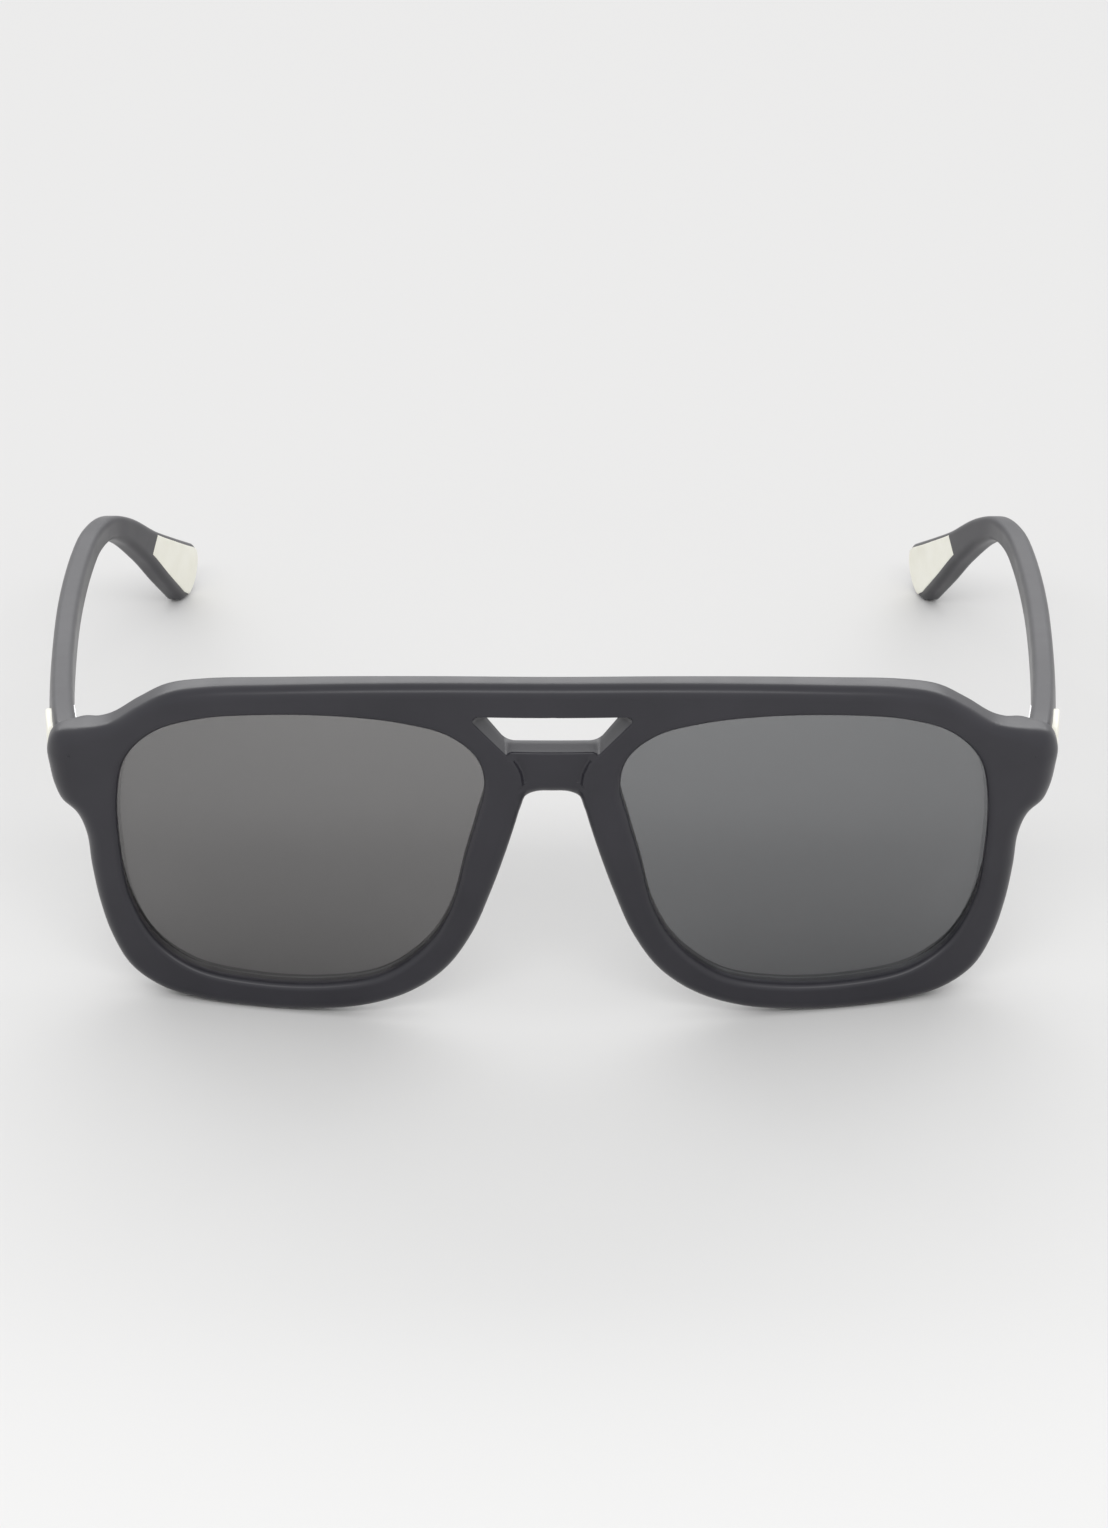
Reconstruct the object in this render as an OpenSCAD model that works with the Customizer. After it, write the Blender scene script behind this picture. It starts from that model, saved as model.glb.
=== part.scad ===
// Aviator sunglasses: a double-bridge front with two folding temples.
// X runs from the left temple (-) to the right temple (+) as seen from in front,
// Y runs from the front to the back, Z is up. The glasses stand open on Z = 0.

/* [Front] */
// Width over the end pieces, mm
front_width = 153.8; // [149:0.2:157]
// Height from the rim bottoms to the brow bar, mm
front_height = 58.5; // [56:0.1:61]
// Radius of the wrap of the front face, mm
face_radius = 240; // [220:5:280]
// Thickness of the front at the middle of the brow bar, mm
rim_thickness = 4.4; // [4.2:0.1:4.8]
// How far the lower bridge is scooped back, mm
bridge_scoop = 0.75; // [0.5:0.05:1.2]

/* [Lenses] */
// Lens thickness, mm
lens_thickness = 2.0; // [1.8:0.1:2.2]
// Lens front behind the front face, mm
lens_setback = 1.6; // [1.4:0.1:1.8]
// Depth of the lens groove in the rim, mm
groove_depth = 0.7; // [0.5:0.1:0.9]

/* [Nose pads] */
// How far the pads stand behind the face, mm
pad_depth = 11.2; // [9.5:0.1:12.5]
// Flare of the pads away from the nose, degrees
pad_flare = 12; // [8:1:16]

/* [Temples] */
// Height of the temple at the joint, mm
joint_height = 11; // [10.6:0.1:11.6]
// Thickness of the temple along its length, mm
temple_thickness = 3.7; // [3.5:0.1:4.2]
// Height of the paddle at the tip, mm
paddle_height = 10; // [9:0.1:10.6]

/* [Hinges] */
// Radius of a hinge knuckle, mm
knuckle_radius = 1.45; // [1.35:0.05:1.45]
// Height of one of the five knuckles, mm
knuckle_height = 1.4; // [1.2:0.1:1.6]
// Radius of the screw shank, mm
screw_radius = 0.70; // [0.6:0.05:0.75]
// Running clearance round the screw, mm
screw_clearance = 0.05; // [0.03:0.01:0.08]
// Thickness of a hinge leaf, mm
leaf_thickness = 1.0; // [0.9:0.1:1.1]

/* [Trim] */
// Length of the plaque beside each hinge, mm
plaque_length = 11; // [9:0.5:12]
// Height of the plaque, mm
plaque_height = 6.4; // [5.6:0.2:7]
// How far the plaque stands proud, mm
plaque_proud = 0.6; // [0.4:0.1:0.9]

/* [Colours] */
// Matte acetate
acetate_colour = "#2e2d30"; // color
// Smoke lenses
lens_colour = "#5a5b5d"; // color
// Cream plaques and tip inlays
cream_colour = "#dedccf"; // color
// Hinges and screws
metal_colour = "#b9bbbd"; // color

/* [Hidden] */
$fn = 48;

kx = front_width / 153.8;
kz = front_height / 58.5;
eps = 0.02;

// the face is a cylinder about a vertical axis; the back is a rounder one, so the ends are thicker
back_radius = face_radius - 22;
function sag(x, r) = r - sqrt(r * r - x * x);
joint_y = sag(72 * kx, face_radius) + rim_thickness + 1.55;
hinge_x = 70.7 * kx;
hinge_y = joint_y + knuckle_radius + 0.15;
hinge_z = 38.0 * kz;
hinge_h = 5 * knuckle_height;
bore_radius = screw_radius + screw_clearance;
mid_y = 74.05 * kx;

// centripetal Catmull-Rom curve through hand-set points
function cr(a, b, c, d, u) =
    let (t1 = pow(norm(b - a), 0.5), t2 = t1 + pow(norm(c - b), 0.5), t3 = t2 + pow(norm(d - c), 0.5),
         t = t1 + (t2 - t1) * u,
         p = (t1 - t) / t1 * a + t / t1 * b,
         q = (t2 - t) / (t2 - t1) * b + (t - t1) / (t2 - t1) * c,
         r = (t3 - t) / (t3 - t2) * c + (t - t2) / (t3 - t2) * d,
         v = (t2 - t) / t2 * p + t / t2 * q,
         w = (t3 - t) / (t3 - t1) * q + (t - t1) / (t3 - t1) * r)
    (t2 - t) / (t2 - t1) * v + (t - t1) / (t2 - t1) * w;
function loop(P, n) = let (m = len(P))
    [for (i = [0 : m - 1]) for (k = [0 : n - 1]) cr(P[(i + m - 1) % m], P[i], P[(i + 1) % m], P[(i + 2) % m], k / n)];
function path(P, n) = let (m = len(P))
    [for (i = [0 : m - 2]) for (k = [0 : (i == m - 2 ? n : n - 1)])
        cr(i > 0 ? P[i - 1] : 2 * P[0] - P[1], P[i], P[i + 1], i < m - 2 ? P[i + 2] : 2 * P[m - 1] - P[m - 2], k / n)];
// outward offset of a closed loop that runs clockwise in (x, z)
function unit(v) = v / norm(v);
function grow(L, d) = let (m = len(L))
    [for (i = [0 : m - 1]) let (t = unit(L[(i + 1) % m] - L[(i + m - 1) % m])) L[i] + d * [-t[1], t[0]]];

// half of the front's outline, from the top centre out and round to the bridge
outline = [[0, 58.5], [16, 58.3], [30, 57.5], [42, 56.3], [52, 54.9], [58, 53.2], [62.5, 50.2],
           [67, 46.7], [72, 44.8], [75.7, 43.2], [76.9, 40.4], [76.6, 37.2], [76.0, 34.2], [74.9, 31.8], [72.6, 30],
           [71.2, 26.8], [70.6, 21.5], [69.6, 15.6], [67.8, 9.5], [65.0, 4.6], [60.4, 1.6], [54, 0.3],
           [46, 0], [37, 0.45], [28.7, 1.8], [21.6, 4.7], [16.1, 9.2], [12.1, 15.5], [9.35, 22.5],
           [7.1, 29.3], [5.6, 34.4], [4.75, 37.4], [4.0, 39.0], [2.4, 39.85], [0, 40]];
// the lens opening of the right rim, clockwise from the nose
opening = [[10.2, 41.6], [11.4, 46.2], [15.6, 49.8], [22.5, 51.6], [32, 52.2], [43, 51.5], [53, 49.7],
           [60, 46.6], [64.5, 41.5], [66, 35], [65.9, 25.5], [64.6, 17], [61, 10.2], [55, 6.2],
           [45.5, 4.95], [33.5, 5.7], [25.5, 8], [19, 13.5], [15.4, 20], [13.2, 29], [11.5, 35.5]];
pad = [[5.9, 36.9], [7.5, 37.2], [9.3, 33.2], [10.5, 29.5], [11.8, 25], [12.8, 20.8], [14.0, 16.4], [14.9, 13.2], [14.2, 12],
       [13.1, 13.3], [11.6, 17], [10.2, 21], [8.9, 25.4], [7.5, 30.6]];
ridge = [[4.7, 36], [4.7, 40], [4.65, 42], [4.9, 43.7], [5.65, 45.4], [6.9, 47], [7.8, 48.1]];
half = [for (p = outline) [p[0] * kx, p[1] * kz]];
outer = loop(concat(half, [for (i = [len(half) - 2 : -1 : 1]) [-half[i][0], half[i][1]]]), 4);
lens_edge = loop([for (p = opening) [p[0] * kx, p[1] * kz]], 5);

// temple centreline stations: [y, x, z, height, thickness over the nominal]
stations = [[17, 74.2, 37.8, joint_height, 0.3], [24, 75.2, 37.4, 0.91 * joint_height, 0.2],
            [34, 76.2, 36.7, 0.76 * joint_height, 0.1], [50, 77.3, 35.3, 6.6, 0], [75, 78.2, 32.9, 5.2, 0],
            [96, 77.9, 30.6, 4.5, 0], [107, 77.0, 29.3, 4.2, 0], [114.5, 75.4, 27.6, 4.1, 0],
            [120.6, 73.3, 24.1, 4.4, 0], [129, 70.2, 16.9, 5.5, -0.1], [136.6, 67.6, 10.3, 0.8 * paddle_height, -0.1],
            [143.4, 65.5, 4.79, paddle_height, -0.3]];
side = path([for (s = stations) [s[0] * kx, s[2] * kz]], 4);
plan = path([for (s = stations) [s[0] * kx, s[1] * kx]], 4);
sizes = path([for (i = [0 : len(stations) - 1]) [10 * i, stations[i][3], stations[i][4]]], 4);
last = len(side) - 1;
function tangent(L, i) = unit(L[min(i + 1, last)] - L[max(i - 1, 0)]);
function rim(L, i, d) = L[i] + d * [-tangent(L, i)[1], tangent(L, i)[0]];
// a band along the temple: rows i0 to i1, lo..hi as a share of the height less a border, mm
function band(i0, i1, lo, hi, border) = concat(
    [for (i = [i0 : i1]) rim(side, i, hi * sizes[i][1] - border)],
    [for (i = [i1 : -1 : i0]) rim(side, i, lo * sizes[i][1] + border)]);
// the same in plan: from lo to hi mm outward of the centreline; in = 1 follows the inner face, -1 the outer one
function plan_band(i0, i1, lo, hi, face = 0) = concat(
    [for (i = [i0 : i1]) rim(plan, i, hi - face * (temple_thickness + sizes[i][2]) / 2)],
    [for (i = [i1 : -1 : i0]) rim(plan, i, lo - face * (temple_thickness + sizes[i][2]) / 2)]);
// the paddle's round end, an ellipse past the last station
end_t = tangent(side, last);
end_n = [-end_t[1], end_t[0]];
end_p = tangent(plan, last);
function paddle_end(inset) = [for (a = [75 : -15 : -75])
    side[last] + end_t * (0.45 * paddle_height - inset) * cos(a) + end_n * (paddle_height / 2 - inset) * sin(a)];
function half_thick(i) = (temple_thickness + sizes[i][2]) / 2;
function past(d) = plan[last] + end_p * 6 + d * [-end_p[1], end_p[0]];

module along_y(pts, from, to) translate([0, to, 0]) rotate([90, 0, 0]) linear_extrude(to - from) polygon(pts);
module along_x(pts, from, to) translate([from, 0, 0]) rotate([90, 0, 90]) linear_extrude(to - from) polygon(pts);
module along_z(pts, from, to) translate([0, 0, from]) linear_extrude(to - from) polygon(pts);
module face(set = 0) translate([0, face_radius + set, -5]) cylinder(r = face_radius, h = 80, $fn = 180);
module back() translate([0, back_radius + rim_thickness, -5]) cylinder(r = back_radius, h = 80, $fn = 180);
module shift() translate([0, -mid_y, 0]) children();
module both(left) { if (left) mirror([1, 0, 0]) children(); else children(); }

module window_corner(x, y, z, r) translate([x * kx, y, z * kz]) rotate([-90, 0, 0]) cylinder(r = r, h = 0.1, $fn = 20);
module bridge_window() hull() for (s = [-1, 1]) {
    window_corner(s * 11.38, -0.6, 52.74, 0.66);
    window_corner(s * 6.92, -0.6, 47.29, 0.19);
    window_corner(s * 8.15, 5.2, 51.73, 1.38);
    window_corner(s * 5.27, 5.2, 50.78, 3.22);
}

module front_hinge_leaf_space(gap) translate([hinge_x - 4.6, joint_y - leaf_thickness - gap, hinge_z - hinge_h / 2 - gap])
    cube([5.6 + gap, leaf_thickness + gap + 0.5, hinge_h + 2 * gap]);

module front_frame() color(acetate_colour) shift() difference() {
    intersection() {
        along_y(outer, -1, joint_y);
        face();
    }
    // hollow back of the front, left full only in a block behind each hinge
    intersection() {
        back();
        union() {
            along_z([[-62.5 * kx, -1], [62.5 * kx, -1], [62.5 * kx, 12], [65.7 * kx, joint_y + 0.1], [65.7 * kx, 40],
                     [-65.7 * kx, 40], [-65.7 * kx, joint_y + 0.1], [-62.5 * kx, 12]], -1, 70);
            // above and below it the ends slope up to the joint
            for (z = [[-1, 33 * kz], [43.2 * kz, 70]]) along_z([[-64 * kx, -1], [64 * kx, -1], [64 * kx, 12.5],
                 [71.8 * kx, joint_y + 0.1], [71.8 * kx, 40], [-71.8 * kx, 40], [-71.8 * kx, joint_y + 0.1], [-64 * kx, 12.5]], z[0], z[1]);
        }
    }
    for (s = [0, 1]) mirror([s, 0, 0]) {
        along_y(lens_edge, -2, 25);
        // the mouth of the opening is cut wider in front of the lens
        intersection() {
            along_y(grow(lens_edge, 0.35), -2, 25);
            difference() {
                translate([-5, -3, 0]) cube([80, 30, 70]);
                face(lens_setback / 2);
            }
        }
        intersection() {
            along_y(grow(lens_edge, groove_depth + eps), -1, 25);
            difference() {
                face(lens_setback - eps);
                face(lens_setback + lens_thickness + eps);
            }
        }
        front_hinge_leaf_space(eps);
    }
    bridge_window();
    // scoop of the lower bridge, between two ridges that run down from the window
    along_y([for (s = [-1, 1]) for (i = [0 : 6]) let (p = ridge[s < 0 ? i : 6 - i]) [s * p[0] * kx, p[1] * kz]], -1, bridge_scoop);
}

module lens(left) color(lens_colour) shift() both(left) intersection() {
    along_y(grow(lens_edge, groove_depth), -1, 25);
    difference() {
        face(lens_setback);
        face(lens_setback + lens_thickness);
    }
}

module nose_pad(left) color(acetate_colour) shift() both(left) intersection() {
    back();
    translate([10 * kx, 5, 0]) rotate([0, 0, -pad_flare]) translate([-10 * kx, -5, 0])
        along_y(loop([for (p = pad) [p[0] * kx, p[1] * kz]], 3), -4, 16);
    along_x(loop([[2, 37.4 * kz], [7.0, 36.2 * kz], [pad_depth - 1.5, 31 * kz], [pad_depth, 25 * kz], [pad_depth - 0.6, 18.5 * kz],
             [8.6, 13.8 * kz], [2, 12 * kz]], 4), 0, 30);
}

module knuckle(i) translate([hinge_x, hinge_y, hinge_z - hinge_h / 2 + i * knuckle_height + 0.03])
    cylinder(r = knuckle_radius, h = knuckle_height - 0.06);
module knuckle_bore() translate([hinge_x, hinge_y, hinge_z - 10]) cylinder(r = bore_radius, h = 20);

module front_hinge(left) color(metal_colour) shift() both(left) difference() {
    union() {
        translate([hinge_x - 4.6, joint_y - leaf_thickness, hinge_z - hinge_h / 2]) cube([5.6, leaf_thickness, hinge_h]);
        for (i = [0, 2, 4]) {
            knuckle(i);
            translate([hinge_x - 1.0, joint_y - 0.5, hinge_z - hinge_h / 2 + i * knuckle_height + 0.03])
                cube([2.0, hinge_y - joint_y + 0.5, knuckle_height - 0.06]);
        }
    }
    knuckle_bore();
}

module hinge_screw(left) color(metal_colour) shift() both(left) translate([hinge_x, hinge_y, hinge_z]) difference() {
    union() {
        translate([0, 0, -hinge_h / 2 - 0.4]) cylinder(r = screw_radius, h = hinge_h + 0.5);
        translate([0, 0, hinge_h / 2 - 0.03]) cylinder(r = 1.2, h = 0.75);
    }
    translate([-2, -0.15, hinge_h / 2 + 0.37]) cube([4, 0.3, 1]);
}

// the temple leaf lies flat in the inner face, which leans out from the axis
lean = atan2(plan[3][1] - plan[0][1], plan[3][0] - plan[0][0]);
inner_start = rim(plan, 0, -half_thick(0));
leaf_x = (inner_start[1] - hinge_x) * cos(lean) - (inner_start[0] - hinge_y) * sin(lean) - 0.1;
module leaf_frame() translate([hinge_x, hinge_y, hinge_z - hinge_h / 2]) rotate([0, 0, -lean]) children();
module temple_leaf_space(gap) leaf_frame() translate([leaf_x - 0.6, -1.5 - gap, -gap])
    cube([0.6 + leaf_thickness + gap, 9.6 + 2 * gap, hinge_h + 2 * gap]);

module temple_hinge(left) color(metal_colour) shift() both(left) difference() {
    union() {
        leaf_frame() translate([leaf_x, -1.2, 0]) cube([leaf_thickness, 9.2, hinge_h]);
        for (i = [1, 3]) {
            knuckle(i);
            leaf_frame() translate([0.2, -0.9, i * knuckle_height + 0.03]) cube([leaf_x + 0.1, 1.8, knuckle_height - 0.06]);
        }
    }
    knuckle_bore();
}

module plaque_space(out, gap) {
    mid_z = hinge_z + 0.5;
    h = plaque_height / 2 + gap;
    l = plaque_length + gap;
    intersection() {
        translate([60, 0, 0]) along_x([[joint_y + 0.7 - gap, mid_z - h + 1], [joint_y + 1.7 - gap, mid_z - h], [joint_y + l - 2, mid_z - h + 0.5],
                 [joint_y + l, mid_z - h + 2.5], [joint_y + l, mid_z + h - 3], [joint_y + l - 2, mid_z + h - 1],
                 [joint_y + 1.7 - gap, mid_z + h], [joint_y + 0.7 - gap, mid_z + h - 1]], 0, 30);
        along_z([for (p = plan_band(0, 16, -0.6 - gap, out, -1)) [p[1], p[0]]], 0, 60);
    }
}

module inlay_space(inset, proud) intersection() {
    along_x(concat([for (i = [36 : last]) rim(side, i, sizes[i][1] / 2 - 0.7 - inset)], paddle_end(0.35 + inset),
            [for (i = [last : -1 : 36]) rim(side, i, -sizes[i][1] / 2 + 1.3 + inset)]), 40, 90);
    along_z([for (p = concat([for (i = [34 : last]) rim(plan, i, -half_thick(i) - proud)], [past(-half_thick(last) - proud)],
            [past(-half_thick(last) + 0.9)], [for (i = [last : -1 : 34]) rim(plan, i, -half_thick(i) + 0.9)])) [p[1], p[0]]], -5, 60);
}

module wire_space(gap) intersection() {
    along_x(concat([for (i = [4 : 32]) rim(side, i, 0.8 + gap)], [for (i = [32 : -1 : 4]) rim(side, i, -0.8 - gap)]), 40, 90);
    along_z([for (p = plan_band(4, 32, -0.45 - gap, 0.45 + gap)) [p[1], p[0]]], -5, 60);
}

module temple(left) color(acetate_colour) shift() both(left) difference() {
    intersection() {
        along_x(concat([for (i = [0 : last]) rim(side, i, sizes[i][1] / 2)], paddle_end(0),
                [for (i = [last : -1 : 0]) rim(side, i, -sizes[i][1] / 2)]), 40, 90);
        along_z([for (p = concat([for (i = [0 : last]) rim(plan, i, half_thick(i))], [past(half_thick(last))],
                [past(-half_thick(last))], [for (i = [last : -1 : 0]) rim(plan, i, -half_thick(i))])) [p[1], p[0]]], -5, 60);
        translate([40, joint_y + 0.1, -5]) cube([60, 150, 80]);
    }
    temple_leaf_space(eps);
    plaque_space(3, eps);
    inlay_space(-eps, 3);
    wire_space(eps);
}

module temple_plaque(left) color(cream_colour) shift() both(left) plaque_space(plaque_proud, 0);
module tip_inlay(left) color(cream_colour) shift() both(left) inlay_space(0, 0.1);
module core_wire(left) color(metal_colour) shift() both(left) wire_space(0);

front_frame();
nose_pad(true);  // nose_pad_left
nose_pad(false);  // nose_pad_right
lens(true);  // lens_left
lens(false);  // lens_right
front_hinge(true);  // front_hinge_left
front_hinge(false);  // front_hinge_right
hinge_screw(true);  // hinge_screw_left
hinge_screw(false);  // hinge_screw_right
temple(true);  // temple_left
temple(false);  // temple_right
temple_hinge(true);  // temple_hinge_left
temple_hinge(false);  // temple_hinge_right
core_wire(true);  // core_wire_left
core_wire(false);  // core_wire_right
temple_plaque(true);  // temple_plaque_left
temple_plaque(false);  // temple_plaque_right
tip_inlay(true);  // tip_inlay_left
tip_inlay(false);  // tip_inlay_right
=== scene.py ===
import math

import bmesh
import bpy
import numpy as np
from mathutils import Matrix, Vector
from mathutils.geometry import delaunay_2d_cdt


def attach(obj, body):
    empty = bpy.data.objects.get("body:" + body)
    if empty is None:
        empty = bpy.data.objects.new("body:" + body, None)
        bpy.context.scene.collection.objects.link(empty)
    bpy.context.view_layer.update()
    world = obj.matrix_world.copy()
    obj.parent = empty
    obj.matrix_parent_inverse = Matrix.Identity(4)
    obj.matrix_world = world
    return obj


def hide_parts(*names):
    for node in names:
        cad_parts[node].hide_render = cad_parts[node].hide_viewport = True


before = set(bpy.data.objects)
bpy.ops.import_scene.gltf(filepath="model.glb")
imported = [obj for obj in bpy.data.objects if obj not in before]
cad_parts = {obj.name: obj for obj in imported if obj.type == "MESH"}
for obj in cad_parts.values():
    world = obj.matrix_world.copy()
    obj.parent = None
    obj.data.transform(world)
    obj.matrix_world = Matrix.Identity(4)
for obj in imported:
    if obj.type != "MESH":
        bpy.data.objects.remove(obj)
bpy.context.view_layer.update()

MM = 0.001
BODIES = {-1: "temple_left_body", 1: "temple_right_body"}
SIDES = {-1: "left", 1: "right"}

# ---------------------------------------------------------------- sizes
# In mm: x from the middle, y back from the front face, z up from the floor.
MID_Y = 74.05  # the frame's origin lies this far behind the front face
SKIN = 0.01  # visible surfaces lie a small multiple of this inside the CAD solids

# front: radii of the two faces, thickness at the middle, and y of the joints with the temples
FACE_R, BACK_R, THICK = 240.0, 218.0, 4.4
JOINT_Y = 17.0046
OUTLINE = [(0, 58.5), (16, 58.3), (30, 57.5), (42, 56.3), (52, 54.9), (58, 53.2), (62.5, 50.2), (67, 46.7),
           (72, 44.8), (75.7, 43.2), (76.9, 40.4), (76.6, 37.2), (76.0, 34.2), (74.9, 31.8), (72.6, 30),
           (71.2, 26.8), (70.6, 21.5), (69.6, 15.6), (67.8, 9.5), (65.0, 4.6), (60.4, 1.6), (54, 0.3),
           (46, 0), (37, 0.45), (28.7, 1.8), (21.6, 4.7), (16.1, 9.2), (12.1, 15.5), (9.35, 22.5),
           (7.1, 29.3), (5.6, 34.4), (4.75, 37.4), (4.0, 39.0), (2.4, 39.85), (0, 40)]
OPENING = [(10.2, 41.6), (11.4, 46.2), (15.6, 49.8), (22.5, 51.6), (32, 52.2), (43, 51.5), (53, 49.7),
           (60, 46.6), (64.5, 41.5), (66, 35), (65.9, 25.5), (64.6, 17), (61, 10.2), (55, 6.2),
           (45.5, 4.95), (33.5, 5.7), (25.5, 8), (19, 13.5), (15.4, 20), (13.2, 29), (11.5, 35.5)]

# scoop over the lower bridge: its half width by height, its depth at the middle and how much deeper it is at
# the foot of the ridges, and the width of a ridge's wall
RIDGE = [(4.7, 36), (4.7, 40), (4.65, 42), (4.9, 43.7), (5.65, 45.4), (6.9, 47), (7.8, 48.1), (7.5, 48.4),
         (0.1, 49)]
SCOOP, SCOOP_FOOT, RIDGE_WALL = 0.77, 0.25, 0.55

# back of the front: where the block behind each hinge and the slope of each end rise, in x and z
BLOCK_X, BLOCK_LOW_Z, BLOCK_HIGH_Z = (63.5, 66.2), (33.0, 34.4), (41.7, 43.2)
SLOPE_X = (68.6, 71.9)

# lenses: distance behind the face, thickness, and how far the edge reaches into the groove
SETBACK, LENS_T, GROOVE = 1.6, 2.0, 0.35

# nose pads: outline from in front and from the side, and the lean of a pad outwards
PAD = [(5.9, 36.9), (7.5, 37.2), (9.3, 33.2), (10.5, 29.5), (11.8, 25), (12.8, 20.8), (14.0, 16.4),
       (14.9, 13.2), (14.2, 12), (13.1, 13.3), (11.6, 17), (10.2, 21), (8.9, 25.4), (7.5, 30.6)]
PAD_SIDE = [(2, 37.4), (7.0, 36.2), (9.7, 31), (11.2, 25), (10.6, 18.5), (8.6, 13.8), (2, 12)]
PAD_LEAN, PAD_EDGE = math.radians(12), 2.2

# temple stations: y, x, z, height, thickness, rounding of the section's edges
STATIONS = [(17, 74.2, 37.8, 11.0, 4.0, 0.9),
            (24, 75.2, 37.4, 10.01, 3.9, 0.9),
            (34, 76.2, 36.7, 8.36, 3.8, 0.9),
            (50, 77.3, 35.3, 6.6, 3.7, 0.95),
            (75, 78.2, 32.9, 5.2, 3.7, 1.0),
            (96, 77.9, 30.6, 4.5, 3.7, 1.0),
            (107, 77.0, 29.3, 4.2, 3.7, 1.05),
            (114.5, 75.4, 27.6, 4.1, 3.7, 1.1),
            (120.6, 73.3, 24.1, 4.4, 3.7, 1.1),
            (129, 70.2, 16.9, 5.5, 3.6, 1.0),
            (136.6, 67.6, 10.3, 8.0, 3.6, 1.0),
            (143.4, 65.5, 4.79, 10.0, 3.4, 1.0)]
STATION_STEPS = 10
# the round end of the tip: length and half height
TIP_LENGTH, TIP_HALF = 4.5 - 3 * SKIN, 5.0

# inlay in the tip: first station, and the margins above, below and at the end
INLAY_STATION, INLAY_TOP, INLAY_LOW, INLAY_END = 9, 0.7, 1.3, 0.35


# ---------------------------------------------------------------- curves
def curve_point(a, b, c, d, u):
    """Centripetal Catmull-Rom from b to c."""
    t1 = np.linalg.norm(b - a) ** 0.5
    t2 = t1 + np.linalg.norm(c - b) ** 0.5
    t3 = t2 + np.linalg.norm(d - c) ** 0.5
    t = t1 + (t2 - t1) * u
    p, q = a + (b - a) * t / t1, b + (c - b) * (t - t1) / (t2 - t1)
    r = c + (d - c) * (t - t2) / (t3 - t2)
    v, w = p + (q - p) * t / t2, q + (r - q) * (t - t1) / (t3 - t1)
    return v + (w - v) * (t - t1) / (t2 - t1)


def loop(P, n=20):
    """A smooth closed curve through the points P, with n steps between each two."""
    P = [np.array(p, float) for p in P]
    m = len(P)
    return np.array([curve_point(P[i - 1], P[i], P[(i + 1) % m], P[(i + 2) % m], k / n)
                     for i in range(m) for k in range(n)])


def path(P, n):
    """A smooth open curve through the points P, with n steps between each two."""
    P = [np.array(p, float) for p in P]
    P = [2 * P[0] - P[1]] + P + [2 * P[-1] - P[-2]]
    out = [curve_point(P[i], P[i + 1], P[i + 2], P[i + 3], k / n)
           for i in range(len(P) - 3) for k in range(n)]
    return np.array(out + [P[-2]])


def resample(L, step):
    """Evenly spaced points round a closed loop."""
    c = np.vstack([L, L[:1]])
    s = np.r_[0, np.cumsum(np.linalg.norm(np.diff(c, axis=0), axis=1))]
    n = max(8, int(round(s[-1] / step)))
    t = np.arange(n) * s[-1] / n
    return np.c_[np.interp(t, s, c[:, 0]), np.interp(t, s, c[:, 1])]


def turned(L, ccw):
    """The loop L, run anticlockwise or clockwise."""
    x, y = L[:, 0], L[:, 1]
    area = np.sum(x * np.roll(y, -1) - np.roll(x, -1) * y)
    return L if (area > 0) == ccw else L[::-1]


def offset(L, d, smooth=2):
    """Moves a loop to its left by d. Outlines run anticlockwise and holes clockwise, so left is into the
    solid."""
    t = np.roll(L, -1, 0) - np.roll(L, 1, 0)
    t /= np.linalg.norm(t, axis=1)[:, None]
    for _ in range(smooth):
        t = t + (np.roll(t, -1, 0) + np.roll(t, 1, 0)) * 0.5
        t /= np.linalg.norm(t, axis=1)[:, None]
    return L + np.asarray(d).reshape(-1, 1) * np.c_[-t[:, 1], t[:, 0]]


def within(P, L):
    """True for the points of P inside the loop L."""
    a, b = L, np.roll(L, -1, 0)
    x, y = P[:, :1], P[:, 1:2]
    cross = (a[:, 1] > y) != (b[:, 1] > y)
    dy = np.where(b[:, 1] == a[:, 1], 1e-12, b[:, 1] - a[:, 1])
    return (np.sum(cross & (x < (b[:, 0] - a[:, 0]) * (y - a[:, 1]) / dy + a[:, 0]), axis=1) % 2) == 1


def smoothstep(x, a, b):
    t = np.clip((x - a) / (b - a), 0, 1)
    return t * t * (3 - 2 * t)


# ---------------------------------------------------------------- meshes
def piece(name, verts, faces, material, body, replaced):
    """A mesh object from points in mm measured from the front face."""
    mesh = bpy.data.meshes.new(name)
    v = (np.asarray(verts, float) - [0, MID_Y, 0]) * MM
    mesh.from_pydata(v.tolist(), [], [tuple(int(i) for i in f) for f in faces])
    bm = bmesh.new()
    bm.from_mesh(mesh)
    bmesh.ops.remove_doubles(bm, verts=bm.verts, dist=2e-6)
    bmesh.ops.dissolve_degenerate(bm, edges=bm.edges, dist=1e-7)
    bmesh.ops.recalc_face_normals(bm, faces=bm.faces)
    for f in bm.faces:
        f.smooth = True
    bm.to_mesh(mesh)
    bm.free()
    mesh.materials.append(material)
    o = bpy.data.objects.new(name, mesh)
    bpy.context.scene.collection.objects.link(o)
    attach(o, body)
    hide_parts(replaced)


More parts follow.
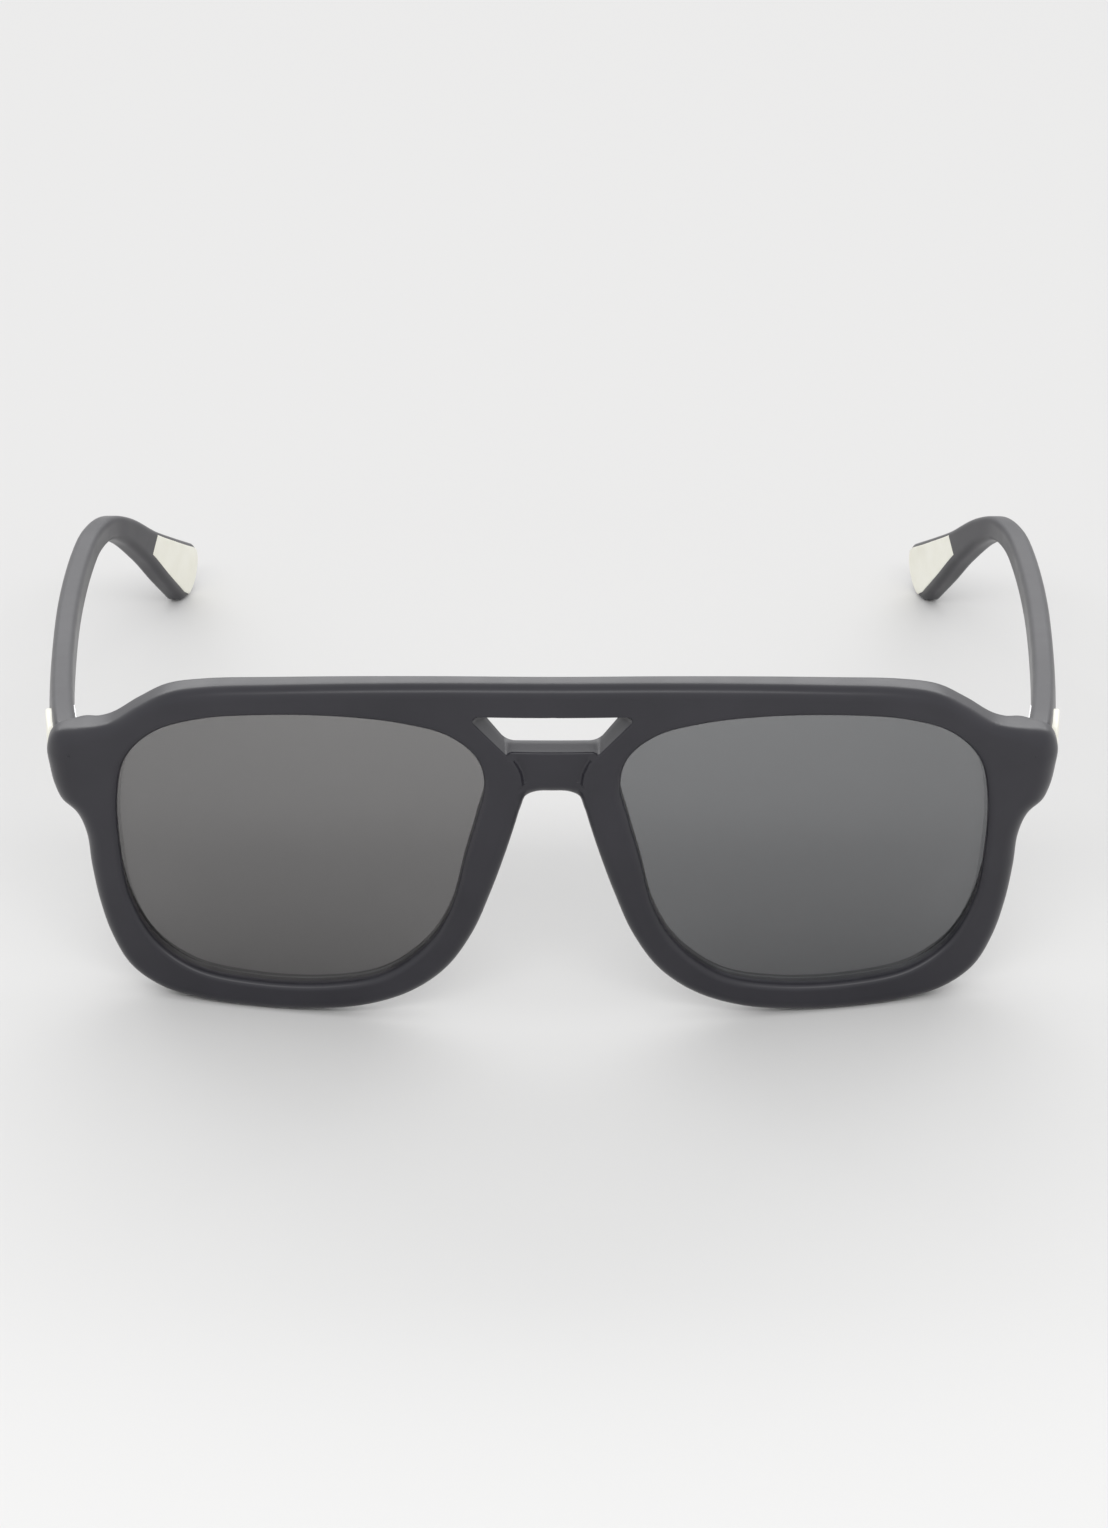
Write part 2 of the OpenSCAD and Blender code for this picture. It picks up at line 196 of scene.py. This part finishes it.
def fill(loops, grid, patch=None):
    """Triangles over the first loop, less the others. Returns the extra points, and faces over the loops' and
    the extra points. patch: (x0, y0, x1, y1, step) for a rectangle with closer points."""
    def hexes(x0, y0, x1, y1, step):
        return np.array([(x + (step / 2 if j % 2 else 0), y)
                         for j, y in enumerate(np.arange(y0, y1, step * 0.87))
                         for x in np.arange(x0, x1, step)])

    pts = np.vstack(loops)
    g = hexes(*loops[0].min(0), *loops[0].max(0), grid)
    room = np.full(len(g), 0.55 * grid)
    if patch:
        x0, y0, x1, y1, step = patch
        far = (g[:, 0] < x0) | (g[:, 0] > x1) | (g[:, 1] < y0) | (g[:, 1] > y1)
        close = hexes(*patch)
        g, room = np.vstack([g[far], close]), np.r_[room[far], np.full(len(close), 0.55 * step)]
    ok = within(g, loops[0])
    for h in loops[1:]:
        ok &= ~within(g, h)
    g, room = g[ok], room[ok]
    if len(g):
        near = np.array([np.min(np.sum((pts - p) ** 2, axis=1)) for p in g])
        g = g[near > room ** 2]
    allp = np.vstack([pts, g]) if len(g) else pts
    edges, k = [], 0
    for L in loops:
        n = len(L)
        edges += [(k + i, k + (i + 1) % n) for i in range(n)]
        k += n
    vs, _, fs, ids, _, _ = delaunay_2d_cdt([Vector(p) for p in allp], edges, [], 0, 1e-9)
    back = [i[0] if i else None for i in ids]
    tri = [tuple(back[v] for v in f) for f in fs if all(back[v] is not None for v in f)]
    cen = np.array([(allp[a] + allp[b] + allp[c]) / 3 for a, b, c in tri])
    ok = within(cen, loops[0])
    for h in loops[1:]:
        ok &= ~within(cen, h)
    return g, [t for t, k in zip(tri, ok) if k]


def plate(rings, front, back, place, grid=2.4, steps=8, walls=2, margin=(0.25, 0.7), patch=None):
    """A solid between two surfaces w = front(u, v) and w = back(u, v), w growing to the back.
    rings: (front loop, back loop, front rounding, back rounding); the first is the outline, the rest are
    holes."""
    verts, faces, first, last = [], [], [], []
    count = 0
    for L, Lb, rf, rb in rings:
        n = len(L)
        rows = []
        for d in reversed(margin):
            q = offset(L, rf + d)
            rows.append(np.c_[q, front(q)])
        for k in range(steps, -1, -1):
            a = math.pi / 2 * k / steps
            q = offset(L, rf * (1 - math.cos(a)))
            rows.append(np.c_[q, front(q) + np.ravel(rf) * (1 - math.sin(a))])
        w0, w1 = front(L) + np.ravel(rf), back(Lb) - np.ravel(rb)
        for k in range(1, walls + 1):
            t = k / (walls + 1)
            rows.append(np.c_[L + (Lb - L) * t, w0 + (w1 - w0) * t])
        for k in range(0, steps + 1):
            a = math.pi / 2 * k / steps
            q = offset(Lb, rb * (1 - math.cos(a)))
            rows.append(np.c_[q, back(q) - np.ravel(rb) * (1 - math.sin(a))])
        for d in margin:
            q = offset(Lb, rb + d)
            rows.append(np.c_[q, back(q)])
        base = count
        for r in rows:
            verts.append(r)
            count += n
        for j in range(len(rows) - 1):
            a, b = base + j * n, base + (j + 1) * n
            faces += [(a + i, a + (i + 1) % n, b + (i + 1) % n, b + i) for i in range(n)]
        first.append((base, rows[0][:, :2]))
        last.append((base + (len(rows) - 1) * n, rows[-1][:, :2]))
    for ends, surf in ((first, front), (last, back)):
        g, tri = fill([q for _, q in ends], grid, patch)
        index = [np.arange(len(q)) + b for b, q in ends] + [count + np.arange(len(g))]
        index = np.concatenate(index).astype(int)
        if len(g):
            verts.append(np.c_[g, surf(g)])
            count += len(g)
        faces += [tuple(index[i] for i in t) for t in tri]
    V = np.vstack(verts)
    return place(V[:, 0], V[:, 1], V[:, 2]), faces


def tube_faces(rings, m):
    """Faces over a row of rings of m points each, closed at both ends."""
    faces = [(j * m + i, j * m + (i + 1) % m, (j + 1) * m + (i + 1) % m, (j + 1) * m + i)
             for j in range(rings - 1) for i in range(m)]
    return faces + [tuple(range(m)), tuple((rings - 1) * m + i for i in range(m))]


def mirrored(V, s):
    """The right side's points as they are, or mirrored to the left."""
    return V * [s, 1, 1]


# ---------------------------------------------------------------- materials
def shader(name):
    """A material with a Principled shader, and its texture coordinates."""
    m = bpy.data.materials.new(name)
    m.use_nodes = True
    nt = m.node_tree
    nt.nodes.clear()
    out = nt.nodes.new("ShaderNodeOutputMaterial")
    p = nt.nodes.new("ShaderNodeBsdfPrincipled")
    nt.links.new(p.outputs["BSDF"], out.inputs["Surface"])
    co = nt.nodes.new("ShaderNodeTexCoord")
    return m, nt, p, co


def noise(nt, co, scale, detail=3.0, stretch=None):
    n = nt.nodes.new("ShaderNodeTexNoise")
    n.inputs["Scale"].default_value = scale
    n.inputs["Detail"].default_value = detail
    if stretch:
        mp = nt.nodes.new("ShaderNodeMapping")
        mp.inputs["Scale"].default_value = stretch
        nt.links.new(co.outputs["Object"], mp.inputs["Vector"])
        nt.links.new(mp.outputs["Vector"], n.inputs["Vector"])
    else:
        nt.links.new(co.outputs["Object"], n.inputs["Vector"])
    return n.outputs["Fac"]


def ramp(nt, fac, stops):
    r = nt.nodes.new("ShaderNodeValToRGB")
    r.color_ramp.elements[0].position, r.color_ramp.elements[1].position = stops[0][0], stops[-1][0]
    r.color_ramp.elements[0].color = (*stops[0][1], 1)
    r.color_ramp.elements[1].color = (*stops[-1][1], 1)
    for pos, col in stops[1:-1]:
        r.color_ramp.elements.new(pos).color = (*col, 1)
    nt.links.new(fac, r.inputs["Fac"])
    return r.outputs["Color"]


def spread(nt, fac, lo, hi, a=0.3, b=0.7):
    """Maps a..b of a value to lo..hi."""
    r = nt.nodes.new("ShaderNodeMapRange")
    for k, v in (("From Min", a), ("From Max", b), ("To Min", lo), ("To Max", hi)):
        r.inputs[k].default_value = v
    nt.links.new(fac, r.inputs["Value"])
    return r.outputs["Result"]


def bump(nt, p, fac, strength, distance):
    b = nt.nodes.new("ShaderNodeBump")
    b.inputs["Strength"].default_value = strength
    b.inputs["Distance"].default_value = distance
    nt.links.new(fac, b.inputs["Height"])
    nt.links.new(b.outputs["Normal"], p.inputs["Normal"])


def matte_acetate():
    m, nt, p, co = shader("matte_acetate")
    cloud, grain = noise(nt, co, 90, 4), noise(nt, co, 4200, 1)
    colour = ramp(nt, cloud, [(0.3, (0.0125, 0.0118, 0.0168)), (0.7, (0.0175, 0.0165, 0.0225))])
    nt.links.new(colour, p.inputs["Base Color"])
    nt.links.new(spread(nt, noise(nt, co, 260, 3), 0.30, 0.34), p.inputs["Roughness"])
    p.inputs["IOR"].default_value = 1.49
    bump(nt, p, grain, 0.05, 0.00001)
    return m


def cream_acetate():
    m, nt, p, co = shader("cream_acetate")
    colour = ramp(nt, noise(nt, co, 160, 4), [(0.3, (0.82, 0.805, 0.70)), (0.7, (0.89, 0.88, 0.79))])
    nt.links.new(colour, p.inputs["Base Color"])
    nt.links.new(spread(nt, noise(nt, co, 420, 3), 0.33, 0.42), p.inputs["Roughness"])
    p.inputs["IOR"].default_value = 1.49
    bump(nt, p, noise(nt, co, 4800, 2), 0.10, 0.00002)
    return m


def steel():
    m, nt, p, co = shader("satin_steel")
    brushed = noise(nt, co, 900, 4, (1, 1, 9))
    colour = ramp(nt, brushed, [(0.3, (0.46, 0.46, 0.47)), (0.7, (0.62, 0.62, 0.63))])
    nt.links.new(colour, p.inputs["Base Color"])
    nt.links.new(spread(nt, brushed, 0.24, 0.38), p.inputs["Roughness"])
    p.inputs["Metallic"].default_value = 1.0
    bump(nt, p, brushed, 0.15, 0.00002)
    return m


def smoke(name, top, bottom):
    """Tinted lens: light crosses two faces, so the tint of one face is the square root of the whole."""
    m, nt, p, co = shader(name)
    sep = nt.nodes.new("ShaderNodeSeparateXYZ")
    nt.links.new(co.outputs["Object"], sep.inputs["Vector"])
    # painted shade: the tint is lighter at the top and darker at the bottom, standing in for the shadowed
    # floor seen through the lens's lower part
    height = spread(nt, sep.outputs["Z"], 0.0, 1.0, 0.005, 0.052)
    mix = nt.nodes.new("ShaderNodeMath")
    mix.operation = "MULTIPLY_ADD"
    mix.inputs[1].default_value = 0.02
    nt.links.new(noise(nt, co, 60, 2), mix.inputs[0])
    nt.links.new(height, mix.inputs[2])
    nt.links.new(ramp(nt, mix.outputs[0], [(0.0, bottom), (1.0, top)]), p.inputs["Base Color"])
    nt.links.new(spread(nt, noise(nt, co, 300, 2), 0.0, 0.02), p.inputs["Roughness"])
    p.inputs["Transmission Weight"].default_value = 1.0
    p.inputs["IOR"].default_value = 1.5
    bump(nt, p, noise(nt, co, 35, 1), 0.02, 0.0001)
    return m


ACETATE, CREAM, STEEL = matte_acetate(), cream_acetate(), steel()
# top and bottom tint of each lens: its smoke colour, with painted shade darkening the bottom
LENS = {-1: smoke("smoke_lens_left", (0.213, 0.209, 0.209), (0.150, 0.146, 0.146)),
        1: smoke("smoke_lens_right", (0.210, 0.213, 0.219), (0.148, 0.150, 0.155))}


# ---------------------------------------------------------------- front
def sag(x, r):
    """How far a cylinder of radius r has bent back at x."""
    return r - np.sqrt(r * r - x * x)


def face_y(q):
    """Front face: a wrap about a vertical axis, scooped between two ridges over the lower bridge."""
    x, z = np.abs(q[:, 0]), q[:, 1]
    y = sag(x, FACE_R) + 2 * SKIN
    ridge = np.interp(z, [p[1] for p in RIDGE], [p[0] for p in RIDGE])
    scoop = SCOOP + SCOOP_FOOT * np.clip(x / ridge, 0, 1) ** 2
    return y + (scoop - y) * smoothstep(ridge - x, 0.0, RIDGE_WALL)


def back_y(q):
    """Back face: a rounder wrap, thicker in a block behind each hinge, and sloping back to the joint at the
    ends."""
    x, z = np.abs(q[:, 0]), q[:, 1]
    full = JOINT_Y - 6 * SKIN
    y = np.minimum(sag(x, BACK_R) + THICK, full)
    block = smoothstep(x, *BLOCK_X) * smoothstep(z, *BLOCK_LOW_Z) * (1 - smoothstep(z, *BLOCK_HIGH_Z))
    return y + (full - y) * np.maximum(block, smoothstep(x, *SLOPE_X)) - SKIN


def window(cx1, z1, r1, cx0, z0, r0, n=10):
    """A trapezium with round corners: a top pair and a bottom pair of corner circles."""
    c = [(cx1, z1, r1), (-cx1, z1, r1), (-cx0, z0, r0), (cx0, z0, r0)]
    d = math.hypot(cx1 - cx0, z1 - z0)
    right = math.atan2(z1 - z0, cx1 - cx0) - math.acos((r0 - r1) / d)
    turn = [right, math.pi / 2, math.pi - right, math.pi * 1.5, right + 2 * math.pi]
    pts = []
    for i in range(4):
        x, z, r = c[i]
        pts += [(x + r * math.cos(a), z + r * math.sin(a)) for a in np.linspace(turn[i], turn[i + 1], n + 1)]
        x, z, r = c[(i + 1) % 4]
        p, q = pts[-1], (x + r * math.cos(turn[i + 1]), z + r * math.sin(turn[i + 1]))
        m = 24 if i in (0, 2) else 8
        pts += [(p[0] + (q[0] - p[0]) * k / m, p[1] + (q[1] - p[1]) * k / m) for k in range(1, m)]
    return np.array(pts)


outer = loop(OUTLINE + [(-x, z) for x, z in OUTLINE[-2:0:-1]])
outer = offset(turned(resample(outer, 0.5), True), 3 * SKIN)
# 0 over the rims and 1 at the end pieces, whose front edges are rounder
ends = smoothstep(np.abs(outer[:, :1]), 69, 75)
throat = {s: turned(resample(loop(OPENING) * [s, 1], 0.6), False) for s in (-1, 1)}
win_front = turned(window(11.1, 52.65, 0.72, 6.75, 47.65, 0.5), False)
win_back = turned(window(8.6, 51.85, 1.28, 5.5, 50.29, 2.78), False)

V, F = plate([(outer, outer, 1.8 + 1.1 * ends, 0.8 - 0.6 * ends),
              (throat[-1], throat[-1], 1.0, 0.6), (throat[1], throat[1], 1.0, 0.6),
              (win_front, win_back, 0.35, 0.35)], face_y, back_y,
             lambda u, v, w: np.c_[u, w, v], grid=1.2, patch=(-8.4, 37.5, 8.4, 48.6, 0.22))
piece("frame_front", V, F, ACETATE, "front", "front_frame")

# ---------------------------------------------------------------- lenses
for s in (-1, 1):
    edge = turned(offset(resample(throat[s], 1.0), GROOVE), True)
    V, F = plate([(edge, edge, 0.25, 0.25)],
                 lambda q: sag(q[:, 0], FACE_R) + SETBACK + 2 * SKIN,
                 lambda q: sag(q[:, 0], FACE_R) + SETBACK + LENS_T - 2 * SKIN,
                 lambda u, v, w: np.c_[u, w, v], grid=2.5, steps=4, walls=1, margin=(0.3,))
    piece("lens_glass_" + SIDES[s], V, F, LENS[s], "front", "lens_" + SIDES[s])

# ---------------------------------------------------------------- nose pads
pad_loop, pad_side = loop(PAD), loop(PAD_SIDE)


def span(L, axis, value):
    """Lowest and highest crossing of a loop with a line of constant value."""
    a, b = L, np.roll(L, -1, 0)
    hit = (a[:, axis] - value) * (b[:, axis] - value) <= 0
    a, b = a[hit], b[hit]
    d = b[:, axis] - a[:, axis]
    t = np.where(np.abs(d) < 1e-9, 0.5, (value - a[:, axis]) / np.where(d == 0, 1, d))
    x = a[:, 1 - axis] + (b[:, 1 - axis] - a[:, 1 - axis]) * t
    return x.min(), x.max()


def nose_pad(s, n=40):
    """Level rings lofted from the bottom of a pad to its top, closer together near both ends."""
    z0 = max(pad_loop[:, 1].min(), pad_side[:, 1].min()) + 12 * SKIN
    z1 = min(pad_loop[:, 1].max(), pad_side[:, 1].max()) - 12 * SKIN
    rings = []
    for k in range(n + 1):
        z = (z0 + z1) / 2 - (z1 - z0) / 2 * math.cos(math.pi * k / n)
        x0, x1 = span(pad_loop, 1, z)
        x0, x1, deep = x0 + 5 * SKIN, x1 - 5 * SKIN, span(pad_side, 1, z)[1] - 5 * SKIN
        mid, a = (x0 + x1) / 2, (x1 - x0) / 2
        start = sag(mid, BACK_R) + THICK - 0.4  # a little inside the front
        deep = max(deep, start + 0.15)
        r = min(a, (deep - start) * 0.5, PAD_EDGE)
        turn = np.linspace(0, math.pi / 2, 9)
        ring = [(-a, start), (-a, start + (deep - r - start) / 2)]
        ring += [(-a + r - r * math.cos(t), deep - r + r * math.sin(t)) for t in turn]
        ring += [(a - r + r * math.sin(t), deep - r + r * math.cos(t)) for t in turn]
        ring += [(a, start + (deep - r - start) / 2), (a, start), (0, start)]
        rings.append([(mid + u + math.tan(PAD_LEAN) * (y - 5), y, z) for u, y in ring])
    V = np.array(rings)
    V, F = V.reshape(-1, 3), tube_faces(len(V), V.shape[1])
    piece("nose_rest_" + SIDES[s], mirrored(V, s), F, ACETATE, "front", "nose_pad_" + SIDES[s])


for s in (-1, 1):
    nose_pad(s)

# ---------------------------------------------------------------- temples
# rows of the centreline in (y, z) and (y, x), of (height, thickness) and of the edge rounding
side = path([(a[0], a[2]) for a in STATIONS], STATION_STEPS)
plan = path([(a[0], a[1]) for a in STATIONS], STATION_STEPS)
sizes = path([(10 * i, a[3], a[4]) for i, a in enumerate(STATIONS)], STATION_STEPS)[:, 1:]
rounding = path([(10 * i, a[5]) for i, a in enumerate(STATIONS)], STATION_STEPS)[:, 1]
last = len(side) - 1


def tangents(L):
    """Unit tangents of an open curve."""
    t = np.vstack([L[1] - L[0], L[2:] - L[:-2], L[-1] - L[-2]])
    return t / np.linalg.norm(t, axis=1)[:, None]


side_t, plan_t = tangents(side), tangents(plan)
side_n = np.c_[-side_t[:, 1], side_t[:, 0]]


def centre_x(y):
    """x of the temple's centreline and the stretch of its thickness, by y."""
    x = np.interp(y, plan[:, 0], plan[:, 1])
    past = np.maximum(y - plan[-1, 0], 0)
    x = x + past * plan_t[-1, 1] / plan_t[-1, 0]
    return x, 1 / np.interp(y, plan[:, 0], plan_t[:, 0])


def half_thick(y):
    """Half the temple's thickness at y."""
    return np.interp(y, plan[:, 0], sizes[:, 1]) / 2 - SKIN


def section(a, b, r, n=6, m=8):
    """A rounded rectangle, 2a thick and 2b high, with a domed outer face: n steps to a corner, m to a
    side."""
    r = min(r, a * 0.98, b * 0.98)
    # each corner's centre, its first angle, and the end of the straight side after it
    corners = (((a - r, b - r), 0, (r - a, b)), ((r - a, b - r), 90, (-a, r - b)),
               ((r - a, r - b), 180, (a - r, -b)), ((a - r, r - b), 270, (a, b - r)))
    pts = []
    for (cx, cz), first, end in corners:
        turn = [math.radians(first + 90 * k / n) for k in range(n + 1)]
        pts += [(cx + r * math.cos(t), cz + r * math.sin(t)) for t in turn]
        x, z = pts[-1]
        pts += [(x + (end[0] - x) * k / m, z + (end[1] - z) * k / m) for k in range(1, m)]
    pts = np.array(pts)
    dome = min(0.13 * b, 0.3 * a)
    pts[:, 0] -= dome * (pts[:, 1] / b) ** 2 * np.maximum(pts[:, 0] / a, 0)
    return pts


def ring_at(c, n, a, b, r, y_fixed=None):
    """The section at c = (y, z) on the centreline, with its height along n."""
    q = section(a, b, r)
    y = c[0] + q[:, 1] * n[0]
    z = c[1] + q[:, 1] * n[1]
    if y_fixed is not None:
        y = np.full_like(y, y_fixed)
    x, k = centre_x(y)
    return np.c_[x + q[:, 0] * k, y, z]


rings = []
# a small rounding at the joint: inset of the edge, y
for inset, y in ((0.25, 17.12), (0.1, 17.16), (0.02, 17.25), (0.0, 17.4)):
    h, a = np.interp(y, side[:, 0], sizes[:, 0]), float(half_thick(y))
    c = np.array([y, np.interp(y, side[:, 0], side[:, 1])])
    rings.append(ring_at(c, np.array([0.0, 1.0]), a - inset, h / 2 - SKIN - inset, 1.2, y))
for i in range(2, last + 1):
    a, b = float(half_thick(side[i, 0])), sizes[i, 0] / 2 - SKIN
    rings.append(ring_at(side[i], side_n[i], a, b, rounding[i]))
TIP_STEPS, TIP_EDGE = 12, 1.0
for k in range(1, TIP_STEPS + 1):
    a = math.pi / 2 * k / TIP_STEPS
    far = TIP_LENGTH * math.sin(a)
    c = side[-1] + side_t[-1] * far
    t = max(0.0, (far - (TIP_LENGTH - TIP_EDGE)) / TIP_EDGE)
    thick = float(half_thick(c[0])) - TIP_EDGE * (1 - math.sqrt(max(0.0, 1 - t * t)))
    high = (TIP_HALF - SKIN) * math.cos(a)
    rings.append(ring_at(c, side_n[-1], max(thick, 0.05), max(high, 0.02), TIP_EDGE))
V = np.array(rings)
TEMPLE_V, TEMPLE_F = V.reshape(-1, 3), tube_faces(len(V), V.shape[1])

# plaque beside the hinge, on the outer face
PLAQUE_Y, PLAQUE_Z = JOINT_Y, 38.5
PLAQUE = [(0.75, 1.7), (1.7, 2.95), (4.5, 2.95), (9.2, 2.5), (10.8, 1.0),
          (10.9, -1.1), (9.2, -2.5), (4.5, -3.05), (1.7, -3.1), (0.75, -1.8)]
plaque = turned(resample(loop(np.add(PLAQUE, (PLAQUE_Y, PLAQUE_Z))), 0.4), True)


def outer_x(y, out):
    """x of the temple's outer face at y, moved out by a distance."""
    x, k = centre_x(y)
    return x + (half_thick(y) + out) * k


PLAQUE_V, PLAQUE_F = plate([(plaque, plaque, 0.45, 0.1)],
                           lambda q: -outer_x(q[:, 0], 0.58), lambda q: -outer_x(q[:, 0], -0.5),
                           lambda u, v, w: np.c_[-w, u, v], grid=0.9, steps=6, walls=1, margin=(0.3,))

# inlay in the inner face of the tip
start = INLAY_STATION * STATION_STEPS
top_v = sizes[:, 0] / 2 - INLAY_TOP
low_v = -sizes[:, 0] / 2 + INLAY_LOW
up = [side[i] + side_n[i] * top_v[i] for i in range(start, last + 1)]
down = [side[i] + side_n[i] * low_v[i] for i in range(last, start - 1, -1)]
length, half = TIP_LENGTH - INLAY_END, TIP_HALF - INLAY_END
arc = [(length * math.cos(a), half * math.sin(a)) for a in np.linspace(math.pi / 2, -math.pi / 2, 41)]
arc = [side[-1] + side_t[-1] * x + side_n[-1] * v for x, v in arc if low_v[-1] < v < top_v[-1]]
inlay = turned(resample(np.array(up + arc + down), 0.35)[:, ::-1], True)


def inner_x(q):
    """The rounded inner face of the tip, in (z, y)."""
    z, y = q[:, 0], q[:, 1]
    x, k = centre_x(y)
    recess = np.empty(len(q))
    for i, (zz, yy) in enumerate(q):
        d = np.hypot(side[:, 0] - yy, side[:, 1] - zz)
        j = int(np.argmin(d))
        w = abs((yy - side[j, 0]) * side_n[j, 0] + (zz - side[j, 1]) * side_n[j, 1])
        r, b = rounding[j], sizes[j, 0] / 2
        t = min(max(0.0, w - (b - r)), r * 0.9)
        recess[i] = r - math.sqrt(r * r - t * t)
    return x - (half_thick(y) - recess) * k


INLAY_V, INLAY_F = plate([(inlay, inlay, 0.12, 0.05)],
                         lambda q: inner_x(q) - 0.06, lambda q: inner_x(q) + 0.6,
                         lambda u, v, w: np.c_[w, v, u], grid=0.8, steps=3, walls=1, margin=(0.2,))

for s in (-1, 1):
    body, word = BODIES[s], SIDES[s]
    piece("arm_" + word, mirrored(TEMPLE_V, s), TEMPLE_F, ACETATE, body, "temple_" + word)
    piece("plaque_" + word, mirrored(PLAQUE_V, s), PLAQUE_F, CREAM, body, "temple_plaque_" + word)
    piece("inlay_" + word, mirrored(INLAY_V, s), INLAY_F, CREAM, body, "tip_inlay_" + word)

# ---------------------------------------------------------------- steel pieces: CAD nodes with a material
for word in SIDES.values():
    for node in ("front_hinge_", "hinge_screw_", "temple_hinge_", "core_wire_"):
        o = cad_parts[node + word]
        o.data.materials.clear()
        o.data.materials.append(STEEL)
        weld = o.modifiers.new("weld", "WELD")
        weld.merge_threshold = 2e-6
        if node != "core_wire_":
            bevel = o.modifiers.new("bevel", "BEVEL")
            bevel.width, bevel.segments = 0.00009, 2
            bevel.limit_method, bevel.angle_limit = "ANGLE", math.radians(35)


# ---------------------------------------------------------------- floor, light, camera
def paper():
    """Pale paper with a faint random tone, painted lighter towards the front and darker with distance."""
    m, nt, p, co = shader("floor_paper")
    sep = nt.nodes.new("ShaderNodeSeparateXYZ")
    nt.links.new(co.outputs["Object"], sep.inputs["Vector"])
    shade = nt.nodes.new("ShaderNodeMath")
    shade.operation = "MULTIPLY_ADD"
    shade.inputs[1].default_value = 0.1
    nt.links.new(noise(nt, co, 1.5, 3), shade.inputs[0])
    # painted light and shade: lighter in front of the glasses, where their shadow and the back softbox's
    # falloff darken the floor, and darker far back, where the back softbox lights it more
    nt.links.new(spread(nt, sep.outputs["Y"], 0.0, 0.9, -0.18, 0.10), shade.inputs[2])
    colour = ramp(nt, shade.outputs[0], [(0.0, (0.722, 0.718, 0.710)), (1.0, (0.655, 0.650, 0.643))])
    nt.links.new(colour, p.inputs["Base Color"])
    nt.links.new(spread(nt, noise(nt, co, 30, 2), 0.85, 0.95), p.inputs["Roughness"])
    p.inputs["Specular IOR Level"].default_value = 0.0
    bump(nt, p, noise(nt, co, 900, 3), 0.03, 0.0001)
    return m


def floor(half=4, n=9):
    """A square of n by n points, in metres."""
    mesh = bpy.data.meshes.new("floor")
    g = np.linspace(-half, half, n)
    v = [(x, y, -0.00001) for y in g for x in g]
    f = [(j * n + i, j * n + i + 1, (j + 1) * n + i + 1, (j + 1) * n + i)
         for j in range(n - 1) for i in range(n - 1)]
    mesh.from_pydata(v, [], f)
    mesh.materials.append(paper())
    o = bpy.data.objects.new("floor", mesh)
    bpy.context.scene.collection.objects.link(o)


def softbox(name, at, aim, size, radiance):
    """An area light with the same radiance whatever its size."""
    lamp = bpy.data.lights.new(name, "AREA")
    lamp.shape, lamp.size, lamp.size_y = "RECTANGLE", size[0], size[1]
    lamp.energy = radiance * math.pi * size[0] * size[1]
    o = bpy.data.objects.new(name, lamp)
    bpy.context.scene.collection.objects.link(o)
    o.location = at
    o.rotation_mode = "QUATERNION"
    o.rotation_quaternion = (Vector(aim) - Vector(at)).to_track_quat("-Z", "Y")


floor()
softbox("back_softbox", (0, 7.2, 3.9), (0, 0, 0), (13.0, 2.8), 2.6)
softbox("front_strip", (0, -1.9, 1.95), (0, -0.07, 0.03), (2.6, 0.42), 5.2)
world = bpy.data.worlds.new("studio")
world.use_nodes = True
world.node_tree.nodes["Background"].inputs["Color"].default_value = (0.985, 0.99, 1.0, 1)
world.node_tree.nodes["Background"].inputs["Strength"].default_value = 1.0
bpy.context.scene.world = world

azimuth, elevation, away = math.radians(0.05), math.radians(29.0), 0.850
target = Vector((0.00025, -0.07405, 0.04575))
back = Vector((math.sin(azimuth) * math.cos(elevation), -math.cos(azimuth) * math.cos(elevation),
               math.sin(elevation)))
lens = bpy.data.cameras.new("camera")
lens.sensor_width, lens.lens = 36.0, 134.18
lens.clip_start, lens.clip_end = 0.05, 30.0
camera = bpy.data.objects.new("camera", lens)
bpy.context.scene.collection.objects.link(camera)
camera.rotation_mode = "QUATERNION"
camera.location = target + back * away
camera.rotation_quaternion = (-back).to_track_quat("-Z", "Y")
bpy.context.scene.camera = camera
bpy.context.scene.view_settings.view_transform = "Standard"

bpy.context.view_layer.update()
